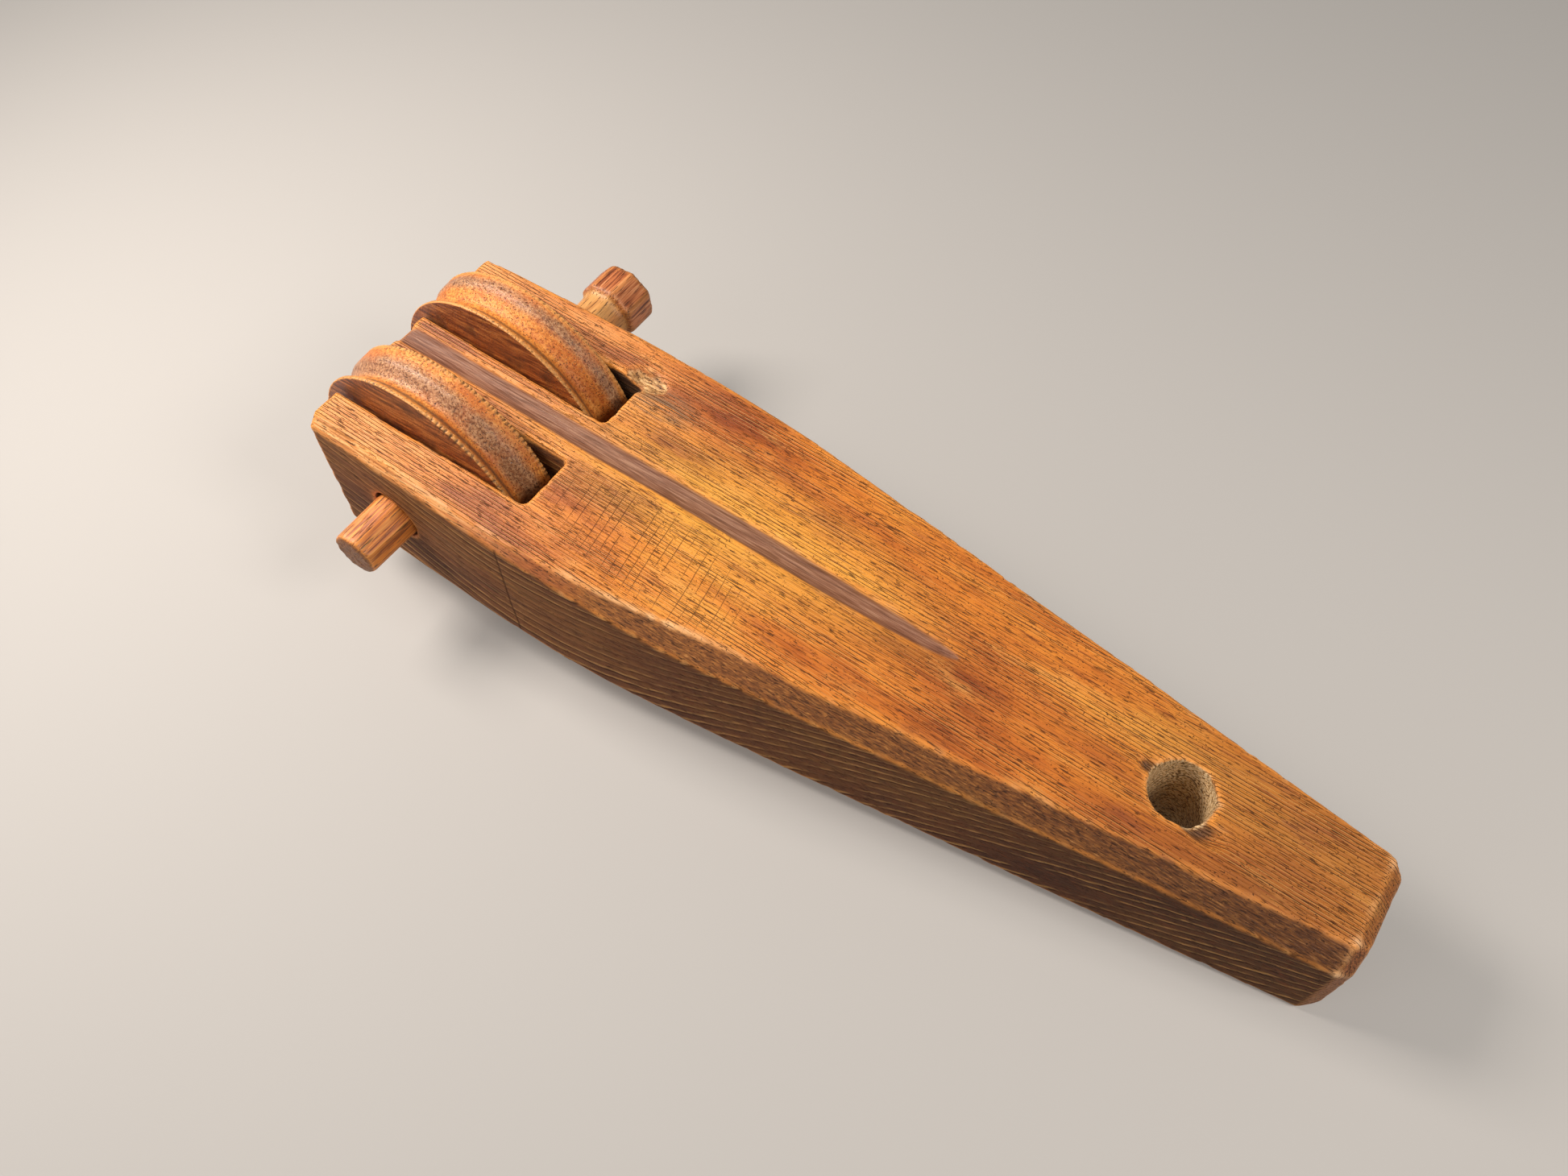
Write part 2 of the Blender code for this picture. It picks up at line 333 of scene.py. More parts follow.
channel_start = -OVERSHOOT / 3
channel_step = (CHANNEL_END_X - channel_start) / CHANNEL_STATIONS
channel_stations = [channel_start + channel_step * i for i in range(CHANNEL_STATIONS + 1)]
slot_size = (SLOT_END_X + OVERSHOOT, SLOT_WIDTH, 4 * END_HALF_THICKNESS)
slot_middle = (SLOT_END_X - OVERSHOOT) / 2
slot_top = half_thickness(SLOT_END_X)
upright = Matrix.Identity(4)
crosswise = Matrix.Rotation(math.radians(-90), 4, "X")
near_slot_place = (slot_middle, -SHEAVE_Y + 0.5 * MM, 0)
far_slot_place = (slot_middle, SHEAVE_Y + 0.8 * MM, 0)
hole_top = half_thickness(HOLE_X)
cuts = {
    "near_slot": block_shape(slot_size, place=near_slot_place, turn=(0, 0, 0.6)),
    "far_slot": block_shape(slot_size, place=far_slot_place, turn=(0, 0, -0.5)),
    "bore": round_cutter(TAPERED_BORE, reach=130 * MM, place=(AXLE_X, 0, 0), turn=crosswise),
    "hole": round_cutter(
        (HOLE_RADIUS,) * 2, reach=120 * MM, place=(HOLE_X, CENTRE_SHIFT, 0), turn=upright
    ),
    "channel": draw_out(CHANNEL_SIDES, channel_stations, channel_point),
    "web_wear": block_shape(
        size=(36 * MM, 6 * MM, 17 * MM),
        place=(73 * MM, -13.3 * MM, slot_top - 2.6 * MM),
        turn=(-17, 0, 0),
    ),
    "cheek_chip": chip_shape(
        size=(10 * MM, 5.6 * MM, 3.2 * MM),
        place=(92 * MM, 37.0 * MM, slot_top + 0.4 * MM),
        seed=3.0,
    ),
    "hole_chip_wide": chip_shape(
        size=(8.5 * MM, 4.0 * MM, 2.6 * MM),
        place=(HOLE_X + 11 * MM, -6.5 * MM, hole_top),
        seed=5.0,
    ),
    "hole_chip_narrow": chip_shape(
        size=(4.2 * MM, 2.4 * MM, 1.4 * MM),
        place=(HOLE_X - 12 * MM, 4 * MM, hole_top),
        seed=8.0,
    ),
    "tail_corner": block_shape(
        size=(16 * MM, 60 * MM, 120 * MM),
        place=(404.4 * MM, -24.3 * MM, 0),
        turn=(0, 0, -42),
    ),
}
cutters = []
for name, shape in cuts.items():
    tool = object_from(shape, name)
    boolean = timber.modifiers.new(name, "BOOLEAN")
    boolean.operation = "DIFFERENCE"
    boolean.solver = "EXACT"
    boolean.object = tool
    cutters.append(tool)
remesh = timber.modifiers.new("even_skin", "REMESH")
remesh.mode = "VOXEL"
remesh.voxel_size = VOXEL


def apply_modifiers(piece):
    """Keeps a piece's finished shape as its mesh and drops its modifiers."""
    graph = bpy.context.evaluated_depsgraph_get()
    finished = bpy.data.meshes.new_from_object(piece.evaluated_get(graph))
    piece.modifiers.clear()
    piece.data = finished
    finished.name = piece.name


apply_modifiers(timber)
for tool in cutters:
    bpy.data.objects.remove(tool)


def arrays(mesh):
    """A mesh's points, normals and edges as arrays."""
    count = len(mesh.vertices)
    points = np.empty(count * 3, np.float32)
    normals = np.empty(count * 3, np.float32)
    edges = np.empty(len(mesh.edges) * 2, np.int32)
    mesh.vertices.foreach_get("co", points)
    mesh.vertices.foreach_get("normal", normals)
    mesh.edges.foreach_get("vertices", edges)
    points = points.reshape(-1, 3).astype(float)
    normals = normals.reshape(-1, 3).astype(float)
    return points, normals, edges.reshape(-1, 2)


def neighbour_mean(values, edges):
    """Each point's mean over the points it shares an edge with."""
    total = np.zeros_like(values)
    count = np.zeros(len(values))
    for a, b in ((0, 1), (1, 0)):
        np.add.at(total, edges[:, a], values[edges[:, b]])
        np.add.at(count, edges[:, a], 1)
    return total / (count[:, None] if values.ndim > 1 else count)


def noise_at(points, size, seed):
    """Smooth noise from -1 to 1 at each point, its lumps about size across along each axis."""
    scaled = points / np.array(size) + seed
    return np.array([noise.noise(Vector(p)) for p in scaled])


def outwardness(points, normals, edges):
    """How far each point stands proud of its neighbours, smoothed: positive on outer edges."""
    proud = np.einsum("ij,ij->i", points - neighbour_mean(points, edges), normals) / MM
    for _ in range(2):
        proud = (proud + neighbour_mean(proud, edges)) / 2
    return proud


def keep_attribute(mesh, name, values):
    """Stores a share at each point, for the material to read."""
    layer = mesh.attributes.new(name, "FLOAT", "POINT")
    layer.data.foreach_set("value", values.astype(np.float32))


points, normals, edges = arrays(timber.data)
points += 0.5 * (neighbour_mean(points, edges) - points)
proud = outwardness(points, normals, edges)
edge = ease(proud, 0.02, 0.09)
swell = 0.22 * noise_at(points, (60 * MM, 22 * MM, 22 * MM), 0.0)
ripple = 0.12 * noise_at(points, (16 * MM, 2.6 * MM, 2.6 * MM), 4.0)
at_tail = ease(points[:, 0], LENGTH - 9 * MM, LENGTH - 5 * MM)
knocks = ease(noise_at(points, (5 * MM, 4 * MM, 5 * MM), 9.0), 0.12, 0.6)
nicks = (0.35 + 0.75 * at_tail) * knocks * edge
points += normals * ((swell + ripple - nicks) * MM)[:, None]

x, y, z = points.T
top = half_thickness(x)
from_hole = np.hypot(x - HOLE_X, y - CENTRE_SHIFT)
below = top - z
is_slot = (x < SLOT_END_X + MM) & (np.abs(np.abs(y) - SHEAVE_Y) < SLOT_WIDTH / 2 + 0.6 * MM)
is_bore = (np.hypot(x - AXLE_X, z) < 13 * MM) & (np.abs(y) < half_width(x) - MM)
is_hole = (from_hole < HOLE_RADIUS + 0.9 * MM) & (np.abs(z) < top - 0.7 * MM)
inside = np.where((is_slot & (normals[:, 2] < 0.16)) | is_bore, 1.0, 0.0)
gouge = CHANNEL_HALF_WIDTH * channel_fade(x) - np.abs(y - channel_centre(x))
gouge = ease(gouge, -0.3 * MM, 0.5 * MM) * (below < 4 * MM) * (x < CHANNEL_END_X)
flat_up = ease(normals[:, 2], 0.55, 0.9)
sideways = ease(np.abs(normals[:, 1]), 0.75, 0.95)
slanting = ease(-normals[:, 1], 0.45, 0.6) * ease(normals[:, 2], 0.45, 0.6)
slanting *= (y < -0.5 * half_width(x)) * (1 - edge)
rough = slanting * ease(x, 85 * MM, 150 * MM)
rubbed = (slanting - rough) * (1 - ease(x, 62 * MM, 112 * MM))
end = ease(np.abs(normals[:, 0]), 0.4, 0.8) * ((x < 4 * MM) | (x > LENGTH - 8 * MM))
nick = edge * np.maximum(0.4 * knocks, at_tail * ease(ripple, -0.02, 0.05) * (points[:, 2] > 0))
# Painted highlight: a pale line along the upper edge of the worn chamfer near the slots.
shine = edge * (below < 1.7 * MM) * (-y > half_width(x) - 12 * MM)
shine *= ease(x, 36 * MM, 66 * MM) * (1 - ease(x, 150 * MM, 210 * MM))
shine *= ease(noise_at(points, (18 * MM, 9 * MM, 9 * MM), 7.0), -0.4, 0.1)
chip = np.where((np.abs(x - 91 * MM) < 11 * MM) & (np.abs(y - 37 * MM) < 8 * MM), 1.0, 0.0)
chip *= ease(below, 0.35 * MM, 1.0 * MM) * flat_up
hole_chips = ease(HOLE_RADIUS + 7 * MM - from_hole, 0, 4 * MM) * ease(below, 0.3 * MM, 0.8 * MM)
raw = np.where(is_hole, 1.0, 0.0)
# Painted shade darkens the inside of the slots and the bore; the chips by the hanging hole are darkened
# as grime.
grime_and_shade = np.maximum(hole_chips * (z > 0) * (1 - raw), inside)
smoothed = {
    "edge": edge, "gouge": gouge, "rough": rough, "rubbed": rubbed, "raw": raw, "grime_and_shade": grime_and_shade,
    "side": sideways, "end": end, "nick": nick, "chip": chip, "shine": shine,
}
timber.data.vertices.foreach_set("co", points.astype(np.float32).ravel())
for name, values in smoothed.items():
    keep_attribute(timber.data, name, (values + neighbour_mean(values, edges)) / 2)
fewer = timber.modifiers.new("fewer_faces", "DECIMATE")
fewer.ratio = KEPT_SHARE
apply_modifiers(timber)
timber.data.transform(timber_frame)
timber.data.shade_smooth()

# Oiled ring-porous hardwood, planed and long handled: broken rows of dark pores along the grain,
# pale ring crests that double as painted glints, an amber ground red-brown in patches with a
# painted pool of gold light beside the channel, brown sides with pale rings, made darker by painted
# shade that deepens towards the tail, rubbed edges lightened partly by wear and partly as painted
# highlight, painted shade inside the slots, a dull brown channel, cross scratches by the slots and
# one split across the near side. The oil has dried, so it shines less than new wood, and least on
# its sides.
RING_MM = 1.24
PITH_MM = (0.0, 320.0, -100.0)
SPLIT_X_MM = 95.5
SCRATCH_MM = 3.4
WAVE_UNIT = 2 * math.pi / 20  # a Wave node's spacing at scale 1
tree, shader, oiled_hardwood = bare_material("oiled_ring_porous_hardwood")
where = add(tree, "ShaderNodeTexCoord", out="Object")
grain = add(tree, "ShaderNodeMapping", {
    "Vector": where, "Location": timber_origin, "Rotation": (0, LEAN, 0), "Scale": (MM, MM, MM),
}, vector_type="TEXTURE")
along = add(tree, "ShaderNodeSeparateXYZ", {0: grain}, out="X")
aside = add(tree, "ShaderNodeSeparateXYZ", {0: grain}, out="Y")


def streaks(tree, vector, lengths, detail=3.0, roughness=0.5, out="Fac"):
    """Noise whose lumps have the given sizes in millimetres along the three axes."""
    scaled = add(tree, "ShaderNodeMapping", {"Vector": vector, "Scale": [1 / a for a in lengths]})
    return add(tree, "ShaderNodeTexNoise", {
        "Vector": scaled, "Scale": 1.0, "Detail": detail, "Roughness": roughness,
    }, out=out)


def from_middle(tree, vector, middle, size, turn=0.0):
    """How far out in a patch, 1 at the rim of an oval of the given half sizes in millimetres."""
    local = add(tree, "ShaderNodeMapping", {
        "Vector": vector, "Location": middle, "Rotation": (0, 0, turn), "Scale": size,
    }, vector_type="TEXTURE")
    return add(tree, "ShaderNodeVectorMath", {0: local}, operation="LENGTH", out="Value")


def share_of(tree, *parts):
    """Shares multiplied together. A part (value, low, high) is 0 at low and 1 at high."""
    total = 1.0
    for part in parts:
        if isinstance(part, tuple):
            part = add(tree, "ShaderNodeMapRange", {
                "Value": part[0], "From Min": part[1], "From Max": part[2],
            })
        total = add(tree, "ShaderNodeMath", {0: total, 1: part}, operation="MULTIPLY")
    return total


def coats(tree, ground, *layers):
    """Colours laid over a ground in turn, each by the shares that come before it."""
    for *parts, colour in layers:
        share = share_of(tree, *parts)
        ground = add(tree, "ShaderNodeMix", {0: share, 6: ground, 7: colour}, out=2, data_type="RGBA")
    return ground


bend = streaks(tree, grain, (260, 60, 60), out="Color")
bend = add(tree, "ShaderNodeVectorMath", {
    0: bend, 1: (0.0, 1.8, 1.8), 2: grain,
}, operation="MULTIPLY_ADD")
from_pith = add(tree, "ShaderNodeVectorMath", {0: bend, 1: PITH_MM}, operation="SUBTRACT")
rings = add(tree, "ShaderNodeTexWave", {
    "Vector": from_pith, "Scale": WAVE_UNIT / RING_MM, "Distortion": 0.0,
}, out="Fac", wave_type="RINGS", rings_direction="X", wave_profile="SAW")
broken = streaks(tree, bend, (44, 1.5, 1.5))
strength = share_of(tree, (streaks(tree, bend, (400, 7, 7), 2.0), 0.38, 0.62))
pore_ring = add(tree, "ShaderNodeValToRGB", {"Fac": rings}, [
    (0.0, 0.0), (0.80, 0.0), (0.87, 1.0), (0.94, 1.0), (1.0, 0.0),
])
row = share_of(tree, pore_ring, (broken, 0.40, 0.50), (strength, -0.5, 1.0))
# Pale lines beside each pore row: partly the rings' own pale wood, partly painted glints.
pale_ring_and_glint = add(tree, "ShaderNodeValToRGB", {"Fac": rings}, [
    (0.0, 0.0), (0.04, 1.0), (0.16, 0.8), (0.30, 0.0), (1.0, 0.0),
])
ring_crest_and_glint = share_of(tree, pale_ring_and_glint, strength)
side_ring = add(tree, "ShaderNodeValToRGB", {"Fac": rings}, [
    (0.0, 0.3), (0.12, 0.0), (0.45, 0.0), (0.80, 1.0), (1.0, 0.6),
])
fibre = streaks(tree, bend, (18, 0.5, 0.5), 4.0, 0.6)
side_fibre = streaks(tree, bend, (15, 0.9, 0.9), 5.0, 0.66)
end_grain = streaks(tree, grain, (0.9, 0.7, 0.7), 3.0)
pores = share_of(tree, (streaks(tree, bend, (5, 0.42, 0.42), 1.0), 0.63, 0.70))
specks = share_of(tree, (streaks(tree, grain, (0.8, 0.6, 0.6), 1.0), 0.69, 0.74))
patch = streaks(tree, grain, (95, 22, 22), 6.0, 0.58)
tint = streaks(tree, grain, (34, 9, 9), 5.0, 0.62)
# Painted light: a pool of gold on the upper face beside the channel, strongest at its middle.
painted_light_pool = from_middle(tree, grain, (150, 3, 29), (80, 22, 30))
weather = from_middle(tree, grain, (104, 31, 29), (17, 8, 9))
masks = {
    name: add(tree, "ShaderNodeAttribute", out="Fac", attribute_name=name) for name in smoothed
}

across = add(tree, "ShaderNodeMapping", {"Vector": grain, "Rotation": (0, 0, -0.16)})
scratches = add(tree, "ShaderNodeTexWave", {
    "Vector": across, "Scale": WAVE_UNIT / SCRATCH_MM, "Distortion": 1.3, "Detail Scale": 0.6,
}, out="Fac", wave_type="BANDS", bands_direction="X", wave_profile="SAW")
scratches = add(tree, "ShaderNodeValToRGB", {"Fac": scratches}, [
    (0.0, 0.0), (0.88, 0.0), (0.92, 1.0), (0.96, 1.0), (1.0, 0.0),
])
scratch_run = streaks(tree, across, (SCRATCH_MM, 24, 24), 1.0)
scratch_zone = from_middle(tree, grain, (140, -24, 29), (50, 19, 30), turn=-0.12)
scratches = share_of(tree, scratches, (scratch_run, 0.43, 0.50), (scratch_zone, 1.1, 0.6), 0.78)

split = add(tree, "ShaderNodeMath", {
    0: streaks(tree, grain, (300, 300, 22), 4.0), 1: 3.0, 2: along,
}, operation="MULTIPLY_ADD")
split = add(tree, "ShaderNodeMath", {0: split, 1: SPLIT_X_MM}, operation="SUBTRACT")
split = add(tree, "ShaderNodeMath", {0: split}, operation="ABSOLUTE")
split = share_of(tree, (split, 0.75, 0.25), (aside, -30.0, -40.0), masks["side"], 0.8)

amber = add(tree, "ShaderNodeValToRGB", {"Fac": patch}, [
    (0.32, "#8a431a"), (0.43, "#b86624"), (0.52, "#d07d2c"), (0.66, "#dd953c"),
])
# The sides' brown is darker than the upper face, partly as painted shade.
side_brown_and_shade = add(tree, "ShaderNodeValToRGB", {"Fac": patch}, [
    (0.34, "#4e2f1b"), (0.50, "#724526"), (0.66, "#8f5c2a"),
])
side_brown_and_shade = coats(
    tree, side_brown_and_shade,
    ((side_fibre, 0.49, 0.36), 0.85, "#28150b"),
    # Painted shade: the sides darken towards the tail.
    ((along, 90.0, 300.0), 0.72, "#1f1108"),
    (side_ring, 0.46, "#3a2216"),
)
rubbed_wood = add(tree, "ShaderNodeValToRGB", {"Fac": streaks(tree, bend, (30, 0.9, 0.9), 3.0)}, [
    (0.36, "#8c5428"), (0.50, "#d08745"), (0.62, "#e8b87c"),
])
rough_wood = add(tree, "ShaderNodeValToRGB", {"Fac": streaks(tree, bend, (5, 0.5, 0.5), 5.0, 0.65)}, [
    (0.36, "#3b2318"), (0.50, "#734729"), (0.62, "#9e6835"), (0.74, "#cf9e62"),
])
hollow = add(tree, "ShaderNodeValToRGB", {"Fac": streaks(tree, bend, (14, 0.6, 0.6), 4.0)}, [
    (0.34, "#573629"), (0.50, "#795242"), (0.66, "#94705c"),
])
end_wood = add(tree, "ShaderNodeValToRGB", {"Fac": end_grain}, [
    (0.36, "#2f170e"), (0.48, "#6e3b20"), (0.64, "#9c6035"),
])
chipped = add(tree, "ShaderNodeValToRGB", {"Fac": streaks(tree, grain, (5, 1.3, 1.3), 4.0)}, [
    (0.34, "#5e3f26"), (0.47, "#b08250"), (0.64, "#dab481"),
])
bored = add(tree, "ShaderNodeValToRGB", {"Fac": end_grain}, [
    (0.36, "#6e5032"), (0.45, "#d3ac76"), (0.60, "#f0d6ac"),
])
# Colour for grime in the hole's chips and for painted shade inside the slots and bore.
grime_and_shade_wood = add(tree, "ShaderNodeValToRGB", {"Fac": fibre}, [
    (0.35, "#1d130d"), (0.52, "#3d2a1e"), (0.68, "#7a6450"),
])

dark = share_of(tree, row, (masks["rough"], 1.0, 0.0), (masks["rubbed"], 1.0, 0.0))
dark = add(tree, "ShaderNodeMath", {0: dark, 1: pores}, operation="MAXIMUM")
dark = add(tree, "ShaderNodeMath", {0: dark, 1: specks}, operation="MAXIMUM")
dark = share_of(tree, dark, (masks["gouge"], 1.0, 0.0))
dark = add(tree, "ShaderNodeMath", {0: dark, 1: scratches}, operation="MAXIMUM")
dark = add(tree, "ShaderNodeMath", {0: dark, 1: split}, operation="MAXIMUM")
ground = coats(
    tree, amber,
    # Painted pool of light, in gold, beside the channel.
    ((painted_light_pool, 1.35, 0.35), 0.70, "#edae45"),
    ((along, 290.0, 365.0), 0.72, "#945c22"),
    ((tint, 0.56, 0.72), 0.55, "#74382a"),
    ((tint, 0.42, 0.28), 0.45, "#e0a458"),
    ((along, 140.0, 60.0), (patch, 0.36, 0.58), 0.62, "#d79463"),
    ((along, 140.0, 60.0), (patch, 0.52, 0.40), 0.62, "#8f5a48"),
    (masks["side"], 0.88, side_brown_and_shade),
    ((fibre, 0.47, 0.36), 0.75, "#7a3c18"),
    (ring_crest_and_glint, 0.40, "#e8b468"),
    (masks["side"], ring_crest_and_glint, (side_fibre, 0.46, 0.57), 0.85, "#bd8850"),
    (masks["rubbed"], 0.7, rubbed_wood),
    (masks["rough"], 0.9, rough_wood),
    # Painted shade: the worn chamfer darkens towards the tail.
    (masks["rough"], (along, 180.0, 380.0), 0.45, "#2a170e"),
    (masks["gouge"], 0.94, hollow),
    (masks["end"], 0.8, end_wood),
    # Lighter edges: partly rubbed wear, partly painted highlight.
    (masks["edge"], 0.82, "#eb9a44"),
    (masks["shine"], 0.85, "#f3dab0"),
    (masks["nick"], 0.8, "#e7c49a"),
    ((weather, 1.15, 0.55), (fibre, 0.62, 0.40), 0.75, "#6b5a47"),
    (masks["chip"], chipped),
    (masks["raw"], bored),
    # Painted shade inside the slots and bore, and grime in the chips by the hole.
    (masks["grime_and_shade"], 0.82, grime_and_shade_wood),
    (dark, 0.82, "#34190b"),
)
bored_relief = share_of(tree, masks["raw"], end_grain)
relief = fibre
for height, depth in ((dark, -1.0), (ring_crest_and_glint, 0.45), (bored_relief, 2.0)):
    relief = add(tree, "ShaderNodeMath", {0: height, 1: depth, 2: relief}, operation="MULTIPLY_ADD")
bump = add(tree, "ShaderNodeBump", {"Strength": 1.0, "Distance": 0.30 * MM, "Height": relief})
dull = 0.48
for share, change in ((dark, 0.30), (masks["edge"], -0.14), (masks["side"], 0.30)):
    dull = add(tree, "ShaderNodeMath", {0: share, 1: change, 2: dull}, operation="MULTIPLY_ADD")
shader.inputs["Specular IOR Level"].default_value = 0.32
tree.links.new(ground, shader.inputs["Base Color"])
tree.links.new(dull, shader.inputs["Roughness"])
tree.links.new(bump, shader.inputs["Normal"])
timber.data.materials.clear()
timber.data.materials.append(oiled_hardwood)
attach(timber, "block")
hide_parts("block_body")


# Sheaves.
# Two wooden wheels turned from dense hardwood, each with a rope groove between two thin lips.
# Rope has polished the grooves and left the lips torn in short ticks across their edges.
BORE_RADIUS = 11.5 * MM
LIP = 1.7 * MM
LIP_ROUND = 0.6 * MM
SPIN_STEPS = 720
GROOVE_POINTS = 28
TICK_MM = 2.4
TEAR_DEPTH = 0.60 * MM


def groove_depth(share, deepest, level, depth):
    """Depth at a share from -1 to 1 across the groove: sunk at deepest, risen again by level."""
    if share < deepest:
        return depth * (1 - ((deepest - share) / (deepest + 1)) ** 2)
    rest = min((share - deepest) / (level - deepest), 1)
    return depth * (1 - rest * rest * (3 - 2 * rest)) + 0.35 * MM * (1 - share) * rest


def sheave_profile(radius, half, groove_shape):
    """Points (offset along the axle, radius) from the bore out over the rim and back."""
    cheek_radii = [BORE_RADIUS + (radius - LIP_ROUND - BORE_RADIUS) * i / 9 for i in range(10)]
    lip_arc = [math.radians(a) for a in (22.5, 45, 67.5, 90)]
    lip_points = [
        (half - LIP_ROUND + LIP_ROUND * math.cos(a), radius - LIP_ROUND + LIP_ROUND * math.sin(a))
        for a in lip_arc
    ]
    near_side = [(-half, r) for r in cheek_radii] + [(-y, r) for y, r in lip_points]
    far_side = [(half, r) for r in cheek_radii] + lip_points
    inner = half - LIP
    groove = []
    for i in range(GROOVE_POINTS + 1):
        share = 2 * i / GROOVE_POINTS - 1
        groove.append((share * inner, radius - 0.2 * MM - groove_depth(share, *groove_shape)))
    return near_side + groove + far_side[::-1]


def make_sheave(name, node, axle, groove_shape, polish_at, torn, seed):
    """One sheave, spun about the axle, then roughened where its lips are torn."""
    low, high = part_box(node)
    radius = (high.x - low.x) / 2
    half = (high.y - low.y) / 2
    wheel = bmesh.new()
    verts = [
        wheel.verts.new((axle.x, axle.y + y, axle.z + r))
        for y, r in sheave_profile(radius, half, groove_shape)
    ]
    loop = [wheel.edges.new(pair) for pair in zip(verts, verts[1:] + verts[:1])]
    bmesh.ops.spin(
        wheel, geom=verts + loop, cent=axle, axis=(0, 1, 0), angle=2 * math.pi,
        steps=SPIN_STEPS, use_merge=True,
    )
    bmesh.ops.recalc_face_normals(wheel, faces=wheel.faces)
    sheave = object_from(wheel, name)
    points, normals, edges = arrays(sheave.data)
    offset = points - np.array(axle)
    around = np.arctan2(offset[:, 0], offset[:, 2])
    out = np.hypot(offset[:, 0], offset[:, 2])
    across = offset[:, 1] / half
    lip = ease(out, radius - 1.3 * MM, radius - 0.35 * MM) * ease(np.abs(across), 0.80, 0.90)
    turns = np.column_stack([np.cos(around) * radius, np.sin(around) * radius, across * 8 * MM])
    torn_here = ease(noise_at(turns, (30 * MM,) * 3, seed), -0.35, 0.15)
    jitter = noise_at(turns, (5 * MM,) * 3, seed + 5)
    ticks = np.sin(around * round(2 * math.pi * radius / (TICK_MM * MM)) + 4.5 * jitter)
    tear = torn * lip * torn_here * ease(ticks, 0.1, 0.8)
    lump = noise_at(turns, (9 * MM,) * 3, seed + 9) + 0.5 * noise_at(turns, (3 * MM,) * 3, seed + 2)
    outward = np.column_stack([np.sin(around), np.zeros_like(out), np.cos(around)])
    groove_zone = (1 - lip) * (np.abs(across) < 0.9) * (out > radius * 0.8)
    move = outward * (0.16 * MM * lump * groove_zone - TEAR_DEPTH * tear)[:, None]
    cheek = ease(np.abs(normals[:, 1]), 0.8, 0.95) * (np.abs(across) > 0.95)
    move += normals * ((0.14 * lump * cheek) * MM)[:, None]
    sheave.data.vertices.foreach_set("co", (points + move).astype(np.float32).ravel())
    polish = np.exp(-((across - polish_at[0]) / polish_at[1]) ** 2)
    # A darker band round the groove, just inside the lip on the -Y side.
    dark_band_by_lip = np.exp(-((across - groove_shape[0] + 0.24) / 0.09) ** 2)
    for mask, values in (
        ("polish", polish * (1 - lip) * (1 - cheek)), ("lip", lip * (1 - cheek)),
        ("torn", tear), ("cheek", cheek), ("dark_band_by_lip", dark_band_by_lip * (1 - lip) * (1 - cheek)),
    ):
        keep_attribute(sheave.data, mask, values)
    sheave.data.shade_smooth()
    sheave.data.set_sharp_from_angle(angle=math.radians(50))
    return sheave


near_groove = (-0.42, 0.35, 3.8 * MM)
far_groove = (-0.38, 0.60, 4.4 * MM)
near_sheave = make_sheave(
    "near_wheel", "near_sheave", near_axle, near_groove, (0.08, 0.52), 0.85, 12.0
)
far_sheave = make_sheave("far_wheel", "far_sheave", far_axle, far_groove, (0.5, 0.34), 0.3, 31.0)

# Rope-polished hardwood: amber near the lips, mottled purple-brown and shinier where rope ran,
# with fine dark pore specks, pale torn lips, and oiled red-brown cheeks with grain across them.
tree, shader, sheave_wood = bare_material("rope_polished_sheave_hardwood")
where = add(tree, "ShaderNodeTexCoord", out="Object")
grain = add(tree, "ShaderNodeMapping", {
    "Vector": where, "Location": near_axle, "Scale": (MM, MM, MM),
}, vector_type="TEXTURE")
masks = {
    name: add(tree, "ShaderNodeAttribute", out="Fac", attribute_name=name)
    for name in ("polish", "lip", "torn", "cheek", "dark_band_by_lip")
}
mottle = streaks(tree, grain, (1.3, 1.0, 1.3), 8.0, 0.68)
blotch = streaks(tree, grain, (14, 9, 14), 4.0)
cheek_grain = streaks(tree, grain, (13, 1.6, 1.2), 6.0, 0.62)
specks = share_of(tree, (streaks(tree, grain, (0.7, 0.5, 0.7), 1.0), 0.62, 0.70), 0.75)
worn = share_of(tree, (share_of(tree, masks["polish"], blotch), 0.16, 0.46))
amber = add(tree, "ShaderNodeValToRGB", {"Fac": mottle}, [
    (0.34, "#84431a"), (0.45, "#cb7b30"), (0.60, "#e69c4a"),
])
purple = add(tree, "ShaderNodeValToRGB", {"Fac": mottle}, [
    (0.34, "#553526"), (0.47, "#8e664c"), (0.62, "#b89272"),
])
cheek_wood = add(tree, "ShaderNodeValToRGB", {"Fac": cheek_grain}, [
    (0.34, "#4c200e"), (0.46, "#8a431d"), (0.57, "#b56a31"), (0.70, "#d08d4b"),
])
cheek_wood = coats(tree, cheek_wood, ((blotch, 0.52, 0.64), 0.6, "#3f1e13"))
colour = coats(
    tree, amber,
    ((blotch, 0.58, 0.40), 0.5, "#b4541f"),
    (worn, 0.85, purple),
    (masks["cheek"], cheek_wood),
    # Darker band round the groove beside the -Y lip.
    (masks["dark_band_by_lip"], 0.78, "#4c3d31"),
    (masks["lip"], 0.85, "#d59a57"),
    (masks["torn"], 0.9, "#3a2213"),
    (specks, "#3b2012"),
)
relief = add(tree, "ShaderNodeMath", {0: specks, 1: -0.9, 2: mottle}, operation="MULTIPLY_ADD")
bump = add(tree, "ShaderNodeBump", {"Strength": 1.0, "Distance": 0.30 * MM, "Height": relief})
gloss = add(tree, "ShaderNodeMapRange", {"Value": worn, "To Min": 0.46, "To Max": 0.34})
tree.links.new(colour, shader.inputs["Base Color"])
tree.links.new(gloss, shader.inputs["Roughness"])
tree.links.new(bump, shader.inputs["Normal"])
for sheave, node in ((near_sheave, "near_sheave"), (far_sheave, "far_sheave")):
    sheave.data.materials.append(sheave_wood)
    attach(sheave, node)
    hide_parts(node)


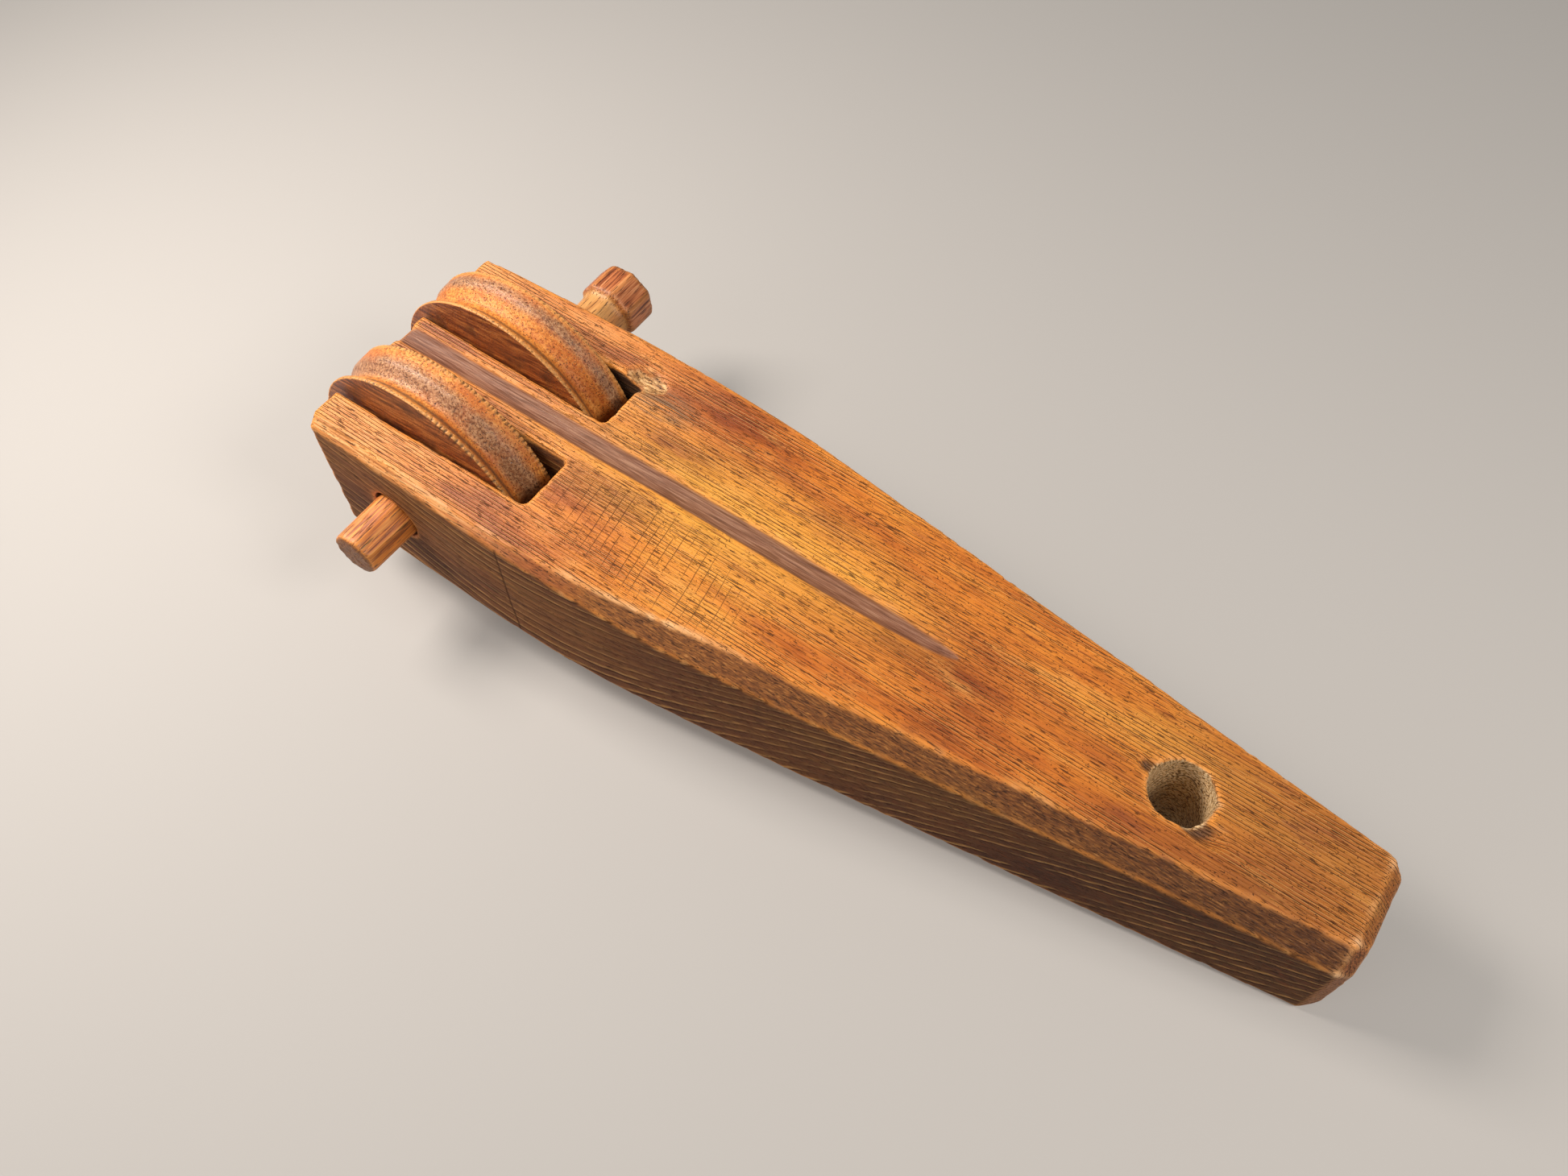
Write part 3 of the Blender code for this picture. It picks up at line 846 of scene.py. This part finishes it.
# Axle peg.
# A stick of oak whittled round with a knife, so that flats and ridges run along it, with an
# eight-sided head left at its thick end and a thin end that is nibbled and rounded.
PEG_TIP_Y = -74.5 * MM
PEG_SHOULDER_Y = 76 * MM
PEG_HEAD_END_Y = 92 * MM
PEG_TIP_RADIUS = 9.8 * MM
PEG_SHOULDER_RADIUS = 11.3 * MM
PEG_HEAD_RADIUS = 14.2 * MM
PEG_SIDES = 48
PEG_STEPS = 60
HEAD_STEPS = 8
FACETS = 8


def peg_stations():
    """(y, radius, share of facet) from the thin end to the head's end."""
    slope = (PEG_SHOULDER_RADIUS - PEG_TIP_RADIUS) / (PEG_SHOULDER_Y - PEG_TIP_Y)
    made = [(PEG_TIP_Y, 0.1 * i * PEG_TIP_RADIUS, 0.3) for i in (1, 3, 5, 7)]
    made += [
        (PEG_TIP_Y, 0.80 * PEG_TIP_RADIUS, 0.3),
        (PEG_TIP_Y + 0.5 * MM, 0.91 * PEG_TIP_RADIUS, 0.4),
        (PEG_TIP_Y + 1.3 * MM, 0.97 * PEG_TIP_RADIUS, 0.6),
    ]
    shank_start = PEG_TIP_Y + 2.6 * MM
    run = PEG_SHOULDER_Y - 3 * MM - shank_start
    for i in range(PEG_STEPS + 1):
        y = shank_start + run * i / PEG_STEPS
        made.append((y, PEG_TIP_RADIUS + slope * (y - PEG_TIP_Y), 1.0))
    head_start = PEG_SHOULDER_Y + 2.0 * MM
    made += [
        (PEG_SHOULDER_Y - 1.0 * MM, PEG_SHOULDER_RADIUS + 0.3 * MM, 0.8),
        (PEG_SHOULDER_Y, PEG_SHOULDER_RADIUS + 1.6 * MM, 0.8),
        (PEG_SHOULDER_Y + 0.8 * MM, PEG_HEAD_RADIUS - 0.3 * MM, 1.2),
        (head_start, PEG_HEAD_RADIUS, 1.3),
    ]
    head_run = PEG_HEAD_END_Y - 2.2 * MM - head_start
    made += [
        (head_start + head_run * i / HEAD_STEPS, PEG_HEAD_RADIUS, 1.3)
        for i in range(1, HEAD_STEPS + 1)
    ]
    made += [
        (PEG_HEAD_END_Y - 0.9 * MM, 0.95 * PEG_HEAD_RADIUS, 1.2),
        (PEG_HEAD_END_Y, 0.84 * PEG_HEAD_RADIUS, 1.0),
    ]
    made += [(PEG_HEAD_END_Y, 0.1 * i * PEG_HEAD_RADIUS, 1.0) for i in (7, 5, 3, 1)]
    return made


def peg_point(station, corner):
    """A point round the peg: a circle pared down to eight flats of uneven depth."""
    y, radius, pared = station
    angle = 2 * math.pi * corner / PEG_SIDES
    facet = 2 * math.pi / FACETS
    which = math.floor(angle / facet + 0.5) % FACETS
    off = angle - which * facet
    if off > math.pi:
        off -= 2 * math.pi
    depth = 0.070 + 0.02 * noise.noise(Vector((which * 3.7, y / (90 * MM), 0.5)))
    flat = radius * (1 - depth * pared) / math.cos(off)
    reach = min(flat, radius)
    return axle_middle + Vector((reach * math.sin(angle), y, reach * math.cos(angle)))


bar = draw_out(PEG_SIDES, peg_stations(), peg_point)
peg = object_from(bar, "whittled_peg")
finer = peg.modifiers.new("finer", "SUBSURF")
finer.levels = 1
finer.render_levels = 1
apply_modifiers(peg)
points, normals, edges = arrays(peg.data)
local = points - np.array(axle_middle)
y = local[:, 1]
out = np.hypot(local[:, 0], local[:, 2])
long_marks = noise_at(local, (2.2 * MM, 26 * MM, 2.2 * MM), 2.0)
end_marks = noise_at(local, (2.0 * MM, 2.0 * MM, 2.0 * MM), 6.0)
on_end = ease(np.abs(normals[:, 1]), 0.5, 0.9)
shift = 0.16 * long_marks * (1 - on_end) + 0.35 * end_marks * on_end
points += normals * (shift * MM)[:, None]
peg.data.vertices.foreach_set("co", points.astype(np.float32).ravel())
proud = outwardness(points, normals, edges)
cheek_y = float(half_width(AXLE_X)) + 0.5 * MM
bare = ease(y, cheek_y - 4 * MM, cheek_y) * (1 - ease(y, PEG_SHOULDER_Y - MM, PEG_SHOULDER_Y))
keep_attribute(peg.data, "bare", bare)
keep_attribute(peg.data, "head", ease(y, PEG_SHOULDER_Y - 0.5 * MM, PEG_SHOULDER_Y + 0.5 * MM))
keep_attribute(peg.data, "cut_end", on_end)
keep_attribute(peg.data, "edge", ease(proud, 0.01, 0.05))
peg.data.shade_smooth()

# Whittled oak, oiled by handling: long dark pore lines, orange-brown on the shank, darker and
# redder on the head, pale where the shank was pared and never handled, dark on the cut ends.
tree, shader, peg_oak = bare_material("whittled_oak")
where = add(tree, "ShaderNodeTexCoord", out="Object")
grain = add(tree, "ShaderNodeMapping", {
    "Vector": where, "Location": axle_middle, "Scale": (MM, MM, MM),
}, vector_type="TEXTURE")
masks = {
    name: add(tree, "ShaderNodeAttribute", out="Fac", attribute_name=name)
    for name in ("bare", "head", "cut_end", "edge")
}
lines = streaks(tree, grain, (1 / 1.1, 25, 1 / 1.1), 6.0)
slow = streaks(tree, grain, (1 / 0.14, 50, 1 / 0.14), 3.0)
pores = share_of(tree, (streaks(tree, grain, (1 / 1.8, 1 / 0.12, 1 / 1.8), 2.0), 0.58, 0.68), 0.8)
shank = add(tree, "ShaderNodeValToRGB", {"Fac": lines}, [
    (0.30, "#7a3d18"), (0.42, "#b4652a"), (0.54, "#d58334"), (0.68, "#e39c4a"),
])
head = add(tree, "ShaderNodeValToRGB", {"Fac": lines}, [
    (0.30, "#4a2311"), (0.44, "#8f4a25"), (0.56, "#b96f42"), (0.70, "#d69a6c"),
])
pale = add(tree, "ShaderNodeValToRGB", {"Fac": slow}, [(0.35, "#a86a35"), (0.60, "#cf9a5c")])
colour = coats(
    tree, shank,
    (masks["head"], head),
    (masks["bare"], pale),
    (masks["edge"], 0.45, "#cf8c4a"),
    (masks["cut_end"], 0.62, "#3f2413"),
    (pores, "#3a1c0d"),
)
relief = add(tree, "ShaderNodeMath", {0: pores, 1: -0.8, 2: lines}, operation="MULTIPLY_ADD")
bump = add(tree, "ShaderNodeBump", {"Strength": 1.0, "Distance": 0.30 * MM, "Height": relief})
tree.links.new(colour, shader.inputs["Base Color"])
tree.links.new(bump, shader.inputs["Normal"])
shader.inputs["Roughness"].default_value = 0.47
peg.data.materials.clear()
peg.data.materials.append(peg_oak)
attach(peg, "peg")
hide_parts("axle_peg")


bpy.context.view_layer.update()
